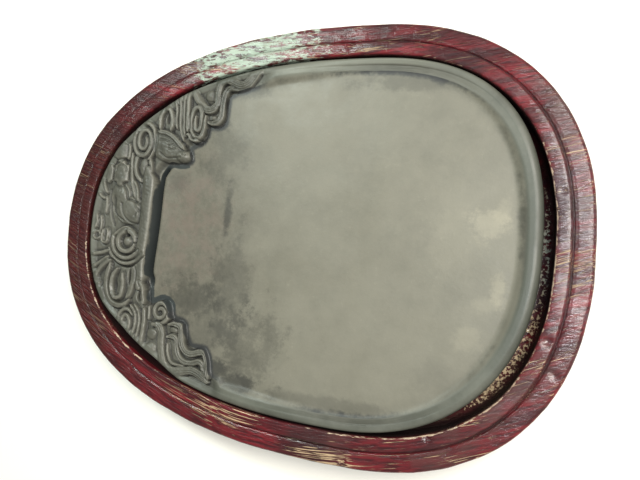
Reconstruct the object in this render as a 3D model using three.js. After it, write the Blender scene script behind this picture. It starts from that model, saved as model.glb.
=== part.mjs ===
// Inkstone in its open wooden tray: a hollowed oval plank on four low feet, and an oval slab of
// stone that lies loose in the hollow. Millimetres, +Z up. The origin is on the surface that the
// feet stand on, under the middle of the tray; the carved end of the stone points to -X.
import * as THREE from 'three';

// ---- driving dimensions ----
const TRAY_LENGTH = 230;
const TRAY_WIDTH = 175.2;
const BROAD_END = 90; // from the widest line of the tray to its broad end
const SHOULDER_WIDTH = 7.9; // the ledge that a lid sits on
const LIP_WIDTH = 5.5; // the raised band that a lid fits round
const LIP_STEP = 2;
const BOARD = 6; // wood left under the hollow
const HOLLOW_DEPTH = 17; // from the top of the lip
const COVE = 5; // round between the hollow's wall and its floor
const FOOT_HEIGHT = 3;
const FOOT_WIDTH = 9;
const FOOT_INSET = 6; // from the tray's outline to the outer side of a foot
const FOOT_LENGTH = 38;
const FOOT_CORNER = 2.5;
const STONE_LENGTH = 197.8;
const STONE_WIDTH = 146.8;
const STONE_BROAD_END = 73.2; // from the widest line of the stone to its broad end
const STONE_THICKNESS = 17.2;
const STONE_TAPER = 5.2; // the underside is smaller than the top by this much all round
const RIM_WIDTH = 5.6; // raised border round the grinding field
const FIELD_DEPTH = 2; // grinding field below the top of the rim
const SLOPE_DEPTH = 5; // lowest part of the sloping field, at the edge of the well
const WELL_DEPTH = 10.5; // floor of the ink well
const WELL_WIDTH = 5.4;
const GAP = 0.3; // between pieces that touch

// ---- heights ----
const Z_UNDERSIDE = FOOT_HEIGHT + GAP;
const Z_FLOOR = Z_UNDERSIDE + BOARD;
const Z_LIP = Z_FLOOR + HOLLOW_DEPTH;
const Z_SHOULDER = Z_LIP - LIP_STEP;
const Z_STONE = Z_FLOOR + GAP;
const Z_RIM = Z_STONE + STONE_THICKNESS;

// ---- ovals: superellipse arcs that meet on the widest line and on the long axis ----
// back runs from the widest line to -X, front to +X. The stone is cut by hand, so its broad end
// is fuller on the far (+Y) side than on the near side.
const TRAY_OVAL = {
  x: TRAY_LENGTH / 2 - BROAD_END, y: 0,
  back: TRAY_LENGTH - BROAD_END, front: BROAD_END, half: TRAY_WIDTH / 2,
  backPower: 2.32, farPower: 2.39, nearPower: 2.39,
};
const STONE_OVAL = {
  x: 24.2, y: -0.1,
  back: STONE_LENGTH - STONE_BROAD_END, front: STONE_BROAD_END, half: STONE_WIDTH / 2,
  backPower: 2.31, farPower: 2.67, nearPower: 2.24,
};
const FIELD_OVAL = {
  ...STONE_OVAL,
  back: STONE_OVAL.back - RIM_WIDTH,
  front: STONE_OVAL.front - RIM_WIDTH,
  half: STONE_OVAL.half - RIM_WIDTH,
};

// Edge of the carving towards the field and the well, from the top cloud's tail, round the
// muzzle of the beast and along the well's straight wall, to the lower cloud's tail.
const CARVING_EDGE = [
  [-12, 66], [-20, 63], [-30, 60.2], [-34.3, 58], [-34.8, 52], [-35, 48.5], [-37.2, 45.6],
  [-43.2, 45], [-44, 41.5], [-46, 38.8], [-50, 37.6], [-52.6, 36.3], [-51.3, 33], [-51, 30.8],
  [-52.8, 29.3], [-57, 29], [-62, 29.2], [-65.8, 25.5], [-67.4, 20], [-67.8, 0], [-68.7, -18],
  [-67, -24], [-65.6, -33], [-59.5, -31.2], [-54.8, -33], [-53.2, -38], [-50.5, -39.7],
  [-46, -40.5], [-44.6, -45], [-42.4, -49.3], [-38, -50], [-34.3, -50.2], [-32, -54],
  [-30.4, -60.2], [-25, -62.5],
];
// Rounded masses that the carving is blocked out from: x, y, radius, height above the ground.
const CARVED_MASSES = [
  [-28, 65, 9, 1.6], [-41, 56, 9, 2], [-49, 45, 8, 2], [-61, 36, 10, 2.4], [-76, 38, 9, 2],
  [-76, 24, 8, 1.8], [-84, 8, 13, 2.6], [-79, -7, 10, 2.4], [-88, -22, 8, 1.8],
  [-81, -30, 8, 2.2], [-76, -43, 7, 2], [-62, -42, 9, 2.2], [-48, -53, 9, 1.8], [-38, -58, 8, 1.6],
];
const CARVING_GROUND = 2.8; // ground between the masses, below the top of the rim
const POLE = [-25, 0]; // every ray from here crosses each outline of the stone once

const RADIAN = Math.PI / 180;

function smoothstep(low, high, value) {
  const t = Math.min(1, Math.max(0, (value - low) / (high - low)));
  return t * t * (3 - 2 * t);
}

// Below 1 inside the oval, 1 on it and above 1 outside.
function ovalLevel(oval, x, y) {
  const u = x - oval.x;
  const v = y - oval.y;
  const length = u > 0 ? oval.front : oval.back;
  const frontPower = v > 0 ? oval.farPower : oval.nearPower;
  const power = u > 0 ? frontPower : oval.backPower;
  return Math.abs(u / length) ** power + Math.abs(v / oval.half) ** power;
}

// The radius at which a ray from the start leaves the oval.
function rayToOval(oval, start, angle) {
  let inside = 0;
  let outside = TRAY_LENGTH;
  for (let i = 0; i < 40; i += 1) {
    const r = (inside + outside) / 2;
    const level = ovalLevel(oval, start[0] + r * Math.cos(angle), start[1] + r * Math.sin(angle));
    if (level < 1) inside = r;
    else outside = r;
  }
  return inside;
}

// The point on a ray, moved in from the oval square to its outline.
function insetPoint(oval, start, angle, inset) {
  const r = rayToOval(oval, start, angle);
  const x = start[0] + r * Math.cos(angle);
  const y = start[1] + r * Math.sin(angle);
  const step = 0.01;
  const nx = ovalLevel(oval, x + step, y) - ovalLevel(oval, x - step, y);
  const ny = ovalLevel(oval, x, y + step) - ovalLevel(oval, x, y - step);
  const length = Math.hypot(nx, ny);
  return [x - (inset * nx) / length, y - (inset * ny) / length];
}

// A closed body from a bottom point, rings of equal count from bottom to top, and a top point.
function ringBody(bottom, rings, top) {
  const count = rings[0].length;
  const points = [bottom, ...rings.flat(), top];
  const faces = [];
  for (let i = 0; i < count; i += 1) {
    const j = (i + 1) % count;
    faces.push(0, 1 + j, 1 + i);
    for (let k = 0; k + 1 < rings.length; k += 1) {
      const low = 1 + k * count;
      const high = low + count;
      faces.push(low + i, low + j, high + j, low + i, high + j, high + i);
    }
    const last = 1 + (rings.length - 1) * count;
    faces.push(last + i, last + j, points.length - 1);
  }
  const geometry = new THREE.BufferGeometry();
  geometry.setAttribute('position', new THREE.Float32BufferAttribute(points.flat(), 3));
  geometry.setIndex(faces);
  geometry.computeVertexNormals();
  return geometry;
}

function mesh(name, geometry, color, roughness) {
  const material = new THREE.MeshStandardMaterial({ color, roughness, metalness: 0 });
  const piece = new THREE.Mesh(geometry, material);
  piece.name = name;
  return piece;
}

// ---- tray: each ring is the outline moved inwards, at its height ----
function trayGeometry() {
  const centre = [TRAY_OVAL.x, TRAY_OVAL.y];
  const lip = SHOULDER_WIDTH;
  const wall = SHOULDER_WIDTH + LIP_WIDTH;
  const coveRings = [0, 22.5, 45, 67.5, 90].map((degrees) => [
    wall + COVE * (1 - Math.cos(degrees * RADIAN)),
    Z_FLOOR + COVE * (1 - Math.sin(degrees * RADIAN)),
  ]);
  const profile = [
    [26, Z_UNDERSIDE], [5.5, Z_UNDERSIDE], [2.6, Z_UNDERSIDE + 0.9], [1, Z_UNDERSIDE + 3.4],
    [0, Z_UNDERSIDE + 9], [0, Z_SHOULDER - 2], [0.4, Z_SHOULDER - 0.7], [1.5, Z_SHOULDER],
    [lip - 0.1, Z_SHOULDER], [lip + 0.2, Z_LIP - 0.6], [lip + 0.9, Z_LIP],
    [wall - 0.9, Z_LIP], [wall - 0.1, Z_LIP - 0.6], ...coveRings, [wall + 24, Z_FLOOR],
  ];
  const angles = Array.from({ length: 80 }, (_, i) => i * 4.5 * RADIAN);
  const rings = profile.map(([inset, z]) => angles.map(
    (angle) => [...insetPoint(TRAY_OVAL, centre, angle, inset), z],
  ));
  return ringBody([...centre, Z_UNDERSIDE], rings, [...centre, Z_FLOOR]);
}

// ---- feet: short stretches of a band inside the outline ----
function footGeometry(middle) {
  const centre = [TRAY_OVAL.x, TRAY_OVAL.y];
  const halfSpan = FOOT_LENGTH / 2 / rayToOval(TRAY_OVAL, centre, middle * RADIAN);
  const outline = [];
  for (let i = 0; i < 18; i += 1) {
    const isOuterSide = i < 9;
    const along = (isOuterSide ? i : 17 - i) / 4 - 1;
    const round = Math.abs(along) === 1 ? FOOT_CORNER : 0;
    const inset = FOOT_INSET + (isOuterSide ? round : FOOT_WIDTH - round);
    outline.push(insetPoint(TRAY_OVAL, centre, middle * RADIAN + along * halfSpan, inset));
  }
  const heart = insetPoint(TRAY_OVAL, centre, middle * RADIAN, FOOT_INSET + FOOT_WIDTH / 2);
  const ring = (scale, z) => outline.map(([x, y]) => [
    heart[0] + (x - heart[0]) * scale, heart[1] + (y - heart[1]) * scale, z,
  ]);
  const rings = [ring(0.94, 0), ring(1, 0.8), ring(1, FOOT_HEIGHT)];
  return ringBody([...heart, 0], rings, [...heart, FOOT_HEIGHT]);
}

// ---- inkstone ----
// Radius from the pole to the field's boundary: the carving's edge, or else the rim's inner side.
function fieldRadius(angle) {
  const c = Math.cos(angle);
  const s = Math.sin(angle);
  for (let i = 0; i + 1 < CARVING_EDGE.length; i += 1) {
    const [ax, ay] = [CARVING_EDGE[i][0] - POLE[0], CARVING_EDGE[i][1] - POLE[1]];
    const [bx, by] = [CARVING_EDGE[i + 1][0] - POLE[0], CARVING_EDGE[i + 1][1] - POLE[1]];
    const sideA = c * ay - s * ax;
    const sideB = c * by - s * bx;
    const t = sideA / (sideA - sideB);
    const r = (ax + t * (bx - ax)) * c + (ay + t * (by - ay)) * s;
    if (sideA * sideB <= 0 && r > 0) return r;
  }
  return rayToOval(FIELD_OVAL, POLE, angle);
}

// 1 along the well's straight wall, fading out at its two ends and under the beast's muzzle.
function wellShare(x, y) {
  return smoothstep(-25, -20, y) * (1 - smoothstep(25, 29, y)) * (1 - smoothstep(-61, -57, x));
}

function fieldHeight(x) {
  return Z_RIM - FIELD_DEPTH - (SLOPE_DEPTH - FIELD_DEPTH) * smoothstep(-24, -66, x);
}

function carvingHeight(x, y) {
  let height = 0;
  for (const [mx, my, radius, rise] of CARVED_MASSES) {
    const d = Math.hypot(x - mx, y - my) / radius;
    if (d < 1) height = Math.max(height, rise * Math.sqrt(1 - d * d));
  }
  return Z_RIM - CARVING_GROUND + height;
}

function stoneGeometry() {
  const edgeAngles = CARVING_EDGE.map(([x, y]) => Math.atan2(y - POLE[1], x - POLE[0]));
  const turns = edgeAngles.map((angle) => (angle < 0 ? angle + 2 * Math.PI : angle));
  const first = turns[0];
  const last = turns[turns.length - 1];
  const plain = Array.from({ length: 34 }, (_, i) => last + ((i + 1) / 35) * (first + 2 * Math.PI - last));
  const wall = [15, 10, 5, -6, -12].map((y) => (Math.atan2(y, -43) + 2 * Math.PI) % (2 * Math.PI));
  const angles = [...turns, ...wall, ...plain].sort((a, b) => a - b);

  const outer = (inset, z) => angles.map(
    (angle) => [...insetPoint(STONE_OVAL, POLE, angle, inset), z],
  );
  const at = (angle, r) => [POLE[0] + r * Math.cos(angle), POLE[1] + r * Math.sin(angle)];
  const isCarved = (angle) => angle >= first && angle <= last;

  const rings = [
    outer(24, Z_STONE), outer(STONE_TAPER, Z_STONE), outer(STONE_TAPER / 2, Z_STONE + 2.7),
    outer(STONE_TAPER / 8, Z_STONE + 7), outer(0, Z_RIM - 5), outer(0, Z_RIM - 2.4),
    outer(0.5, Z_RIM - 1), outer(1.6, Z_RIM - 0.2), outer(2.8, Z_RIM),
  ];
  // From the rim's crest to the field's boundary: carving at one end, the rim's inner side elsewhere.
  for (const share of [0.16, 0.33, 0.5, 0.67, 0.84, 1]) {
    rings.push(angles.map((angle) => {
      const crest = insetPoint(STONE_OVAL, POLE, angle, 2.8);
      const outerRadius = Math.hypot(crest[0] - POLE[0], crest[1] - POLE[1]);
      const heading = Math.atan2(crest[1] - POLE[1], crest[0] - POLE[0]);
      const turnLeft = (angle - heading + 3 * Math.PI) % (2 * Math.PI) - Math.PI;
      const r = outerRadius + share * (fieldRadius(angle) - outerRadius);
      const [x, y] = at(heading + turnLeft * share, r);
      const z = isCarved(angle) ? carvingHeight(x, y) : Z_RIM - 0.5 * share;
      return [x, y, z];
    }));
  }
  // Down the wall of the well, across its floor and up on to the sloping field.
  const inward = (distance, depthOf) => rings.push(angles.map((angle) => {
    const [x, y] = at(angle, fieldRadius(angle) - distance);
    return [x, y, depthOf(x, isCarved(angle) ? wellShare(x, y) : 0)];
  }));
  const wellFloor = Z_RIM - WELL_DEPTH;
  inward(0.5, (x, well) => fieldHeight(x) * (1 - well) + wellFloor * well);
  inward(WELL_WIDTH, (x, well) => fieldHeight(x) * (1 - well) + wellFloor * well);
  inward(WELL_WIDTH + 1, (x) => fieldHeight(x));
  for (const share of [0.75, 0.55, 0.35, 0.15]) {
    rings.push(angles.map((angle) => {
      const [x, y] = at(angle, share * (fieldRadius(angle) - WELL_WIDTH));
      return [x, y, fieldHeight(x)];
    }));
  }
  return ringBody([...POLE, Z_STONE], rings, [...POLE, fieldHeight(POLE[0])]);
}

// ---- assembly ----
const group = new THREE.Group();
group.add(mesh('tray', trayGeometry(), 0x5a1420, 0.25));
group.add(mesh('inkstone', stoneGeometry(), 0x8b8d80, 0.65));
const FEET = { foot_broad_back: 42, foot_carved_back: 148, foot_carved_front: 212, foot_broad_front: 318 };
for (const [name, middle] of Object.entries(FEET)) {
  group.add(mesh(name, footGeometry(middle), 0x4a1018, 0.35));
}

export default group;
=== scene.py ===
# %% [markdown]
# # An inkstone in its lacquered tray
# A calligrapher grinds ink on an oval slab of stone. One end is carved in low relief, beside a
# deep well for the ink, and the slab lies loose in a tray that was hollowed from one plank. The
# CAD frame says how big each piece is and where it goes. This lesson gives those pieces their
# finished surfaces: a carved stone, a hand-cut lacquered rim and four small feet.

import math
from collections import namedtuple

import bmesh
import bpy
import numpy as np
from mathutils import Matrix, Vector


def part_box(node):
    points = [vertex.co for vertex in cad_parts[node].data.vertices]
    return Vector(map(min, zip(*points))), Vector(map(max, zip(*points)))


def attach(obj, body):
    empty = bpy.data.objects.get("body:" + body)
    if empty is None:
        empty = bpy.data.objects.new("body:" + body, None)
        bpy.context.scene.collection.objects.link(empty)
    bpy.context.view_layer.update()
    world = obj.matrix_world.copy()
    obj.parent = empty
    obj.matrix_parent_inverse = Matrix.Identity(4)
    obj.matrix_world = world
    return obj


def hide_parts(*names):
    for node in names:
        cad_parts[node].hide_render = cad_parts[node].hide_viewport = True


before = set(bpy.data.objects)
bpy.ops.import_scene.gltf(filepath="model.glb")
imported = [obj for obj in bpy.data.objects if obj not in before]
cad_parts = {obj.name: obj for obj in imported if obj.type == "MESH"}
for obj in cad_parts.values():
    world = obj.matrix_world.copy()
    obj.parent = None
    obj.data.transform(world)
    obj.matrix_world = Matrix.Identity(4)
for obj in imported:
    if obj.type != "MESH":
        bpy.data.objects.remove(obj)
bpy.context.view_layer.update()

# %% [markdown]
# ## Sizes
# The shapes below are worked out in millimetres, as a maker would, and turned to metres when a
# mesh is made. The outer sizes and the main heights are read from the frame, so the finished
# pieces can't drift away from the CAD solids that they stand for.

# %% Read the sizes
MM = 0.001
GAP = 0.3  # the frame keeps this gap between pieces that touch

tray_low, tray_high = (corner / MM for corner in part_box("tray"))
stone_low, stone_high = (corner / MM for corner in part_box("inkstone"))
UNDERSIDE_Z = tray_low.z
LIP_Z = tray_high.z
STONE_Z = stone_low.z
RIM_Z = stone_high.z
FLOOR_Z = STONE_Z - GAP
LIP_STEP = 2.0
SHOULDER_Z = LIP_Z - LIP_STEP
print(f"lip {LIP_Z:.1f}, hollow floor {FLOOR_Z:.1f}, stone from {STONE_Z:.1f} to {RIM_Z:.1f} mm")

# %% [markdown]
# ## Ovals
# Both outlines are longer towards the carved end than towards the broad end, and blunter than an
# ellipse. A superellipse has a power for how blunt it is, so two halves with their own length and
# power give the whole outline from a formula. A ring of points round the oval is found by walking
# out along rays until the formula reaches one, and an inset ring by stepping back square to it.

# %% Oval formula
Oval = namedtuple("Oval", "x y back front half back_power far_power near_power")
HALVINGS = 40  # each one halves how far a point may be from its oval
SQUARE_STEP = 0.01

tray_size = tray_high - tray_low
TRAY_BROAD_END = 90.0
TRAY = Oval(
    tray_high.x - TRAY_BROAD_END, 0.0, tray_size.x - TRAY_BROAD_END, TRAY_BROAD_END,
    tray_size.y / 2, 2.32, 2.39, 2.39,
)
STONE_BROAD_END = 73.2
STONE_MIDDLE_Y = -0.1
STONE = Oval(
    stone_high.x - STONE_BROAD_END, STONE_MIDDLE_Y,
    stone_high.x - STONE_BROAD_END - stone_low.x, STONE_BROAD_END,
    stone_high.y - STONE_MIDDLE_Y, 2.31, 2.67, 2.24,
)


def oval_level(oval, x, y):
    """Below 1 inside the oval, 1 on it and above 1 outside."""
    u, v = x - oval.x, y - oval.y
    length = np.where(u > 0, oval.front, oval.back)
    front_power = np.where(v > 0, oval.far_power, oval.near_power)
    power = np.where(u > 0, front_power, oval.back_power)
    return np.abs(u / length) ** power + np.abs(v / oval.half) ** power


def ray_to_oval(oval, start, angles):
    """The radius at which each ray from the start leaves the oval."""
    inside, outside = np.zeros_like(angles), np.full_like(angles, tray_size.x)
    for _ in range(HALVINGS):
        r = (inside + outside) / 2
        level = oval_level(oval, start[0] + r * np.cos(angles), start[1] + r * np.sin(angles))
        inside, outside = np.where(level < 1, r, inside), np.where(level < 1, outside, r)
    return inside


def inset_ring(oval, start, angles, inset):
    """Points on the rays, moved in from the oval by inset, square to its outline."""
    r = ray_to_oval(oval, start, angles)
    x, y = start[0] + r * np.cos(angles), start[1] + r * np.sin(angles)
    across = oval_level(oval, x + SQUARE_STEP, y) - oval_level(oval, x - SQUARE_STEP, y)
    along = oval_level(oval, x, y + SQUARE_STEP) - oval_level(oval, x, y - SQUARE_STEP)
    length = np.hypot(across, along)
    return np.column_stack([x - inset * across / length, y - inset * along / length])


def smooth(low, high, value):
    """0 below low, 1 above high and an S curve between them."""
    t = np.clip((value - low) / (high - low), 0, 1)
    return t * t * (3 - 2 * t)


# %% [markdown]
# ## Meshes from rings
# The stone is rings of points stacked from the middle of its underside, round its side and in
# over its top. numpy works out all the rings at once, and the helper below joins neighbours with
# four-sided faces and closes both middles with a fan.

# %% Mesh helpers
def mesh_object(name, points, faces, edges=()):
    """A smooth-shaded object at the origin from points in millimetres."""
    mesh = bpy.data.meshes.new(name)
    mesh.from_pydata((np.asarray(points) * MM).tolist(), list(edges), faces)
    mesh.polygons.foreach_set("use_smooth", [True] * len(mesh.polygons))
    made = bpy.data.objects.new(name, mesh)
    bpy.context.scene.collection.objects.link(made)
    return made


def ring_body(name, bottom, rings, top):
    """A closed body from rings (ring, point, xyz), listed from the bottom point to the top one."""
    count = rings.shape[1]
    points = np.vstack([bottom, rings.reshape(-1, 3), top])
    i = np.arange(count)
    j = (i + 1) % count
    faces = np.column_stack([np.zeros(count, int), 1 + j, 1 + i]).tolist()
    for k in range(len(rings) - 1):
        low = 1 + k * count
        high = low + count
        faces += np.column_stack([low + i, low + j, high + j, high + i]).tolist()
    last = 1 + (len(rings) - 1) * count
    faces += np.column_stack([last + i, last + j, np.full(count, len(points) - 1)]).tolist()
    return mesh_object(name, points, faces)


def add_attribute(piece, name, values):
    """A number for each point of the mesh, which a material can read by its name."""
    attribute = piece.data.attributes.new(name, "FLOAT", "POINT")
    attribute.data.foreach_set("value", np.asarray(values, np.float32))


def points_of(piece):
    """The points of a piece's mesh in millimetres."""
    flat = np.empty(len(piece.data.vertices) * 3)
    piece.data.vertices.foreach_get("co", flat)
    return flat.reshape(-1, 3) / MM


# %% [markdown]
# ## Node helpers
# Materials and Geometry Nodes are trees of small boxes joined by wires. These helpers keep the
# trees readable: the first makes any box and wires its inputs, and the others do one sum each.

# %% Node helpers
FLOAT, VECTOR = "NodeSocketFloat", "NodeSocketVector"


def feed(tree, socket, value):
    """Wires a socket into an input, or sets the input to a plain value."""
    if isinstance(value, bpy.types.NodeSocket):
        tree.links.new(value, socket)
    else:
        socket.default_value = value


def node(tree, kind, inputs=None, **settings):
    made = tree.nodes.new(kind)
    for name, value in settings.items():
        setattr(made, name, value)
    for key, value in (inputs or {}).items():
        feed(tree, made.inputs[key], value)
    return made


def maths(tree, operation, a, b=0.0, clamp=False):
    return node(tree, "ShaderNodeMath", {0: a, 1: b}, operation=operation, use_clamp=clamp).outputs[0]


def times(tree, a, b):
    return maths(tree, "MULTIPLY", a, b)


def larger(tree, a, b):
    return maths(tree, "MAXIMUM", a, b)


def vector_maths(tree, operation, a, b):
    return node(tree, "ShaderNodeVectorMath", {0: a, 1: b}, operation=operation).outputs[0]


def spread(tree, value, low, high, to_low=0.0, to_high=1.0):
    """Turns the stretch from low to high into an S curve between to_low and to_high."""
    inputs = {"Value": value, "From Min": low, "From Max": high}
    inputs |= {"To Min": to_low, "To Max": to_high}
    made = node(tree, "ShaderNodeMapRange", inputs, interpolation_type="SMOOTHSTEP")
    return made.outputs["Result"]


def mix_colours(tree, factor, a, b):
    made = node(tree, "ShaderNodeMix", data_type="RGBA")
    for index, value in ((0, factor), (6, a), (7, b)):
        feed(tree, made.inputs[index], value)
    return made.outputs[2]


def noise(tree, vector, scale, detail=3.0, roughness=0.5):
    inputs = {"Vector": vector, "Scale": scale, "Detail": detail, "Roughness": roughness}
    return node(tree, "ShaderNodeTexNoise", inputs).outputs["Fac"]


def streaks(tree, vector, pace, detail=3.0, roughness=0.5):
    """Noise with its own pace along x, y and z, which pulls it out along the slower ones."""
    return noise(tree, vector_maths(tree, "MULTIPLY", vector, pace), 1.0, detail, roughness)


def attribute(tree, name):
    return node(tree, "ShaderNodeAttribute", attribute_name=name).outputs["Fac"]


def new_material(name):
    """An empty material with its tree, its shader and its Object coordinates."""
    made = bpy.data.materials.new(name)
    made.use_nodes = True
    tree = made.node_tree
    tree.nodes.clear()
    shader = node(tree, "ShaderNodeBsdfPrincipled")
    output = node(tree, "ShaderNodeOutputMaterial")
    tree.links.new(shader.outputs[0], output.inputs["Surface"])
    return made, tree, shader, node(tree, "ShaderNodeTexCoord").outputs["Object"]


def new_group(name, inputs, outputs):
    """An empty shader group. inputs gives each name its socket type and its usual value."""
    tree = bpy.data.node_groups.new(name, "ShaderNodeTree")
    for label, (kind, usual) in inputs.items():
        socket = tree.interface.new_socket(label, in_out="INPUT", socket_type=kind)
        if usual is not None:
            socket.default_value = usual
    for label in outputs:
        tree.interface.new_socket(label, in_out="OUTPUT", socket_type=FLOAT)
    return tree, node(tree, "NodeGroupInput").outputs, node(tree, "NodeGroupOutput").inputs


def use_group(tree, group, inputs):
    return node(tree, "ShaderNodeGroup", inputs, node_tree=group).outputs


print("node helpers ready for sockets of the types", FLOAT, "and", VECTOR)

# %% [markdown]
# ## Plank grain
# Tray and feet are cut from the same wood, so its grain is one shader group. Grain is noise
# pulled out along the plank: a soft one for the bands of early and late wood, a fine one for the
# open pores, and fine ridges that catch the light. All are bent by a slow noise first, because no
# plank grows dead straight, and Sag bows the lines, more on the near side than on the far one.

# %% Plank grain group
LOWEST_X = 0.01  # where the bowed lines hang lowest, in metres
NEAR_SIDE_SAG = 6.0  # how much more they sag for each metre towards the near side


def plank_grain_group():
    inputs = {"Vector": (VECTOR, None), "Wander": (FLOAT, 0.006), "Sag": (FLOAT, 0.0)}
    inputs["Pore Amount"] = (FLOAT, 0.5)
    tree, given, result = new_group("Plank Grain", inputs, ["Tone", "Pores", "Ridges"])
    x, y, z = node(tree, "ShaderNodeSeparateXYZ", {0: given["Vector"]}).outputs
    from_lowest = maths(tree, "ABSOLUTE", maths(tree, "SUBTRACT", x, LOWEST_X))
    from_low_point = maths(tree, "POWER", from_lowest, 2.0)
    more_in_front = maths(tree, "SUBTRACT", 1.0, times(tree, y, NEAR_SIDE_SAG))
    sag = times(tree, times(tree, given["Sag"], more_in_front), from_low_point)
    level = node(tree, "ShaderNodeCombineXYZ", {0: x, 1: maths(tree, "SUBTRACT", y, sag), 2: z})
    slow = node(tree, "ShaderNodeTexNoise", {"Vector": given["Vector"], "Scale": 16.0, "Detail": 2.0})
    centred = vector_maths(tree, "SUBTRACT", slow.outputs["Color"], (0.5, 0.5, 0.5))
    scaled = {0: centred, "Scale": given["Wander"]}
    offset = node(tree, "ShaderNodeVectorMath", scaled, operation="SCALE").outputs[0]
    bent = vector_maths(tree, "ADD", level.outputs[0], offset)

    tone = streaks(tree, bent, (9, 190, 190), 4.0, 0.6)
    feed(tree, result["Tone"], spread(tree, tone, 0.32, 0.68))

    fine = streaks(tree, bent, (50, 2100, 2100), 2.0, 0.55)
    patches = streaks(tree, bent, (30, 110, 110), 2.0)
    reach = times(tree, given["Pore Amount"], spread(tree, patches, 0.38, 0.7, 0.02, 0.2))
    threshold = maths(tree, "SUBTRACT", 0.69, reach)
    feed(tree, result["Pores"], spread(tree, fine, threshold, maths(tree, "ADD", threshold, 0.05)))

    ridges = streaks(tree, bent, (130, 900, 900), 3.0, 0.6)
    feed(tree, result["Ridges"], ridges)
    return tree


PLANK_GRAIN = plank_grain_group()
print("built the shader group", PLANK_GRAIN.name)

# %% [markdown]
# ## Patches
# Old stone and old lacquer are marked in places: a stain here, a rubbed spot there. One group
# makes such a patch from a centre and a size on each axis, with an edge that noise breaks up, and
# each material places it as often as it needs.

# %% Patch group
def patch_group():
    inputs = {
        "Vector": (VECTOR, None), "Centre": (VECTOR, None), "Size": (VECTOR, None),
        "Break Up": (FLOAT, 1.5), "Detail Scale": (FLOAT, 120.0),
    }
    tree, given, result = new_group("Patch", inputs, ["Mask"])
    away = vector_maths(tree, "SUBTRACT", given["Vector"], given["Centre"])
    scaled = vector_maths(tree, "DIVIDE", away, given["Size"])
    distance = node(tree, "ShaderNodeVectorMath", {0: scaled}, operation="LENGTH").outputs["Value"]
    rough_noise = noise(tree, given["Vector"], given["Detail Scale"], 6.0, 0.75)
    ragged = maths(tree, "SUBTRACT", rough_noise, 0.5)
    reach = maths(tree, "ADD", distance, times(tree, ragged, given["Break Up"]))
    feed(tree, result["Mask"], spread(tree, reach, 0.3, 1.0, 1.0, 0.0))
    return tree


PATCH = patch_group()
ANY_HEIGHT = 0.2  # a patch this tall reaches every height of the object


def patch(tree, coordinates, x, y, size_x, size_y, break_up=1.5, detail_scale=120.0):
    """A patch with its centre and its size in millimetres."""
    inputs = {
        "Vector": coordinates, "Centre": (x * MM, y * MM, RIM_Z * MM),
        "Size": (size_x * MM, size_y * MM, ANY_HEIGHT),
        "Break Up": break_up, "Detail Scale": detail_scale,
    }
    return use_group(tree, PATCH, inputs)["Mask"]


print("built the shader group", PATCH.name)

# %% [markdown]
# ## Paths for the carving
# The carver's clouds, scrolls and ribbons are strokes of a gouge, so each is kept as a short path
# in the plane of the rim. A spline turns the few chosen points into a flowing line, and the
# distance from every mesh point to that line tells the relief how high the stroke stands there.

# %% Path helpers
PATH_STEP = 0.8
STRAIGHT_POINTS = 6
POINTS_PER_TURN = 28
ARC_STEP, LEAST_ARC_POINTS = 12, 4  # degrees, points


def smooth_path(chosen):
    """A Catmull-Rom spline through the chosen points, with a point every PATH_STEP or so."""
    chosen = np.array(chosen, float)
    if len(chosen) == 2:
        return np.linspace(chosen[0], chosen[1], STRAIGHT_POINTS)
    padded = np.vstack([2 * chosen[0] - chosen[1], chosen, 2 * chosen[-1] - chosen[-2]])
    parts = []
    for a, b, c, d in zip(padded, padded[1:], padded[2:], padded[3:]):
        steps = max(2, int(np.hypot(*(c - b)) / PATH_STEP))
        t = (np.arange(steps) / steps)[:, None]
        curve = 2 * b + (c - a) * t + (2 * a - 5 * b + 4 * c - d) * t**2
        parts.append((curve + (3 * b - a - 3 * c + d) * t**3) / 2)
    return np.vstack(parts + [chosen[-1:]])


def spiral(x, y, outer, inner, turns, start):
    """A path that winds in from the outer half-sizes to the inner ones. start is in degrees."""
    t = np.linspace(0, 1, int(turns * POINTS_PER_TURN))[:, None]
    turn = math.radians(start) + 2 * math.pi * turns * t[:, 0]
    reach = np.array(outer) * (1 - t) + np.array(inner) * t
    return np.column_stack([x + reach[:, 0] * np.cos(turn), y + reach[:, 1] * np.sin(turn)])


def arc(x, y, radius, first, last):
    """A path along part of a circle. The angles are in degrees."""
    count = max(LEAST_ARC_POINTS, int(abs(last - first) / ARC_STEP))
    turn = np.radians(np.linspace(first, last, count))
    return np.column_stack([x + radius * np.cos(turn), y + radius * np.sin(turn)])


def path_distance(path, places):
    """For each place: how far the path is, how far along it, and on which side (- or +)."""
    start, along = path[:-1], np.diff(path, axis=0)
    away = places[:, None] - start
    t = np.clip((away * along).sum(2) / (along**2).sum(1), 0, 1)
    gap = away - t[..., None] * along
    distance = np.hypot(gap[..., 0], gap[..., 1])
    nearest = distance.argmin(1)
    row = np.arange(len(places))
    turned = along[nearest, 0] * away[row, nearest, 1] - along[nearest, 1] * away[row, nearest, 0]
    share = (nearest + t[row, nearest]) / len(along)
    return distance[row, nearest], share, np.where(turned < 0, -1.0, 1.0)


print("a straight path has", len(smooth_path([(0, 0), (9, 0)])), "points")

# %% [markdown]
# ## The carved strokes
# The relief runs down one end in groups: a fluttering scarf, locks of hair over a beast's head
# with its scroll, stubby cloud rolls, a coil like an eye, ribs and loops, and ribbons that trail
# off along the other side. A roll has a half-width and a depth of its crest under the rim's top,
# and its cuts are fine lines at a share of the half-width. Rolls that come later lie on top.

# %% Rolls
Roll = namedtuple("Roll", "path half_width crest cuts", defaults=[()])

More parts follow.
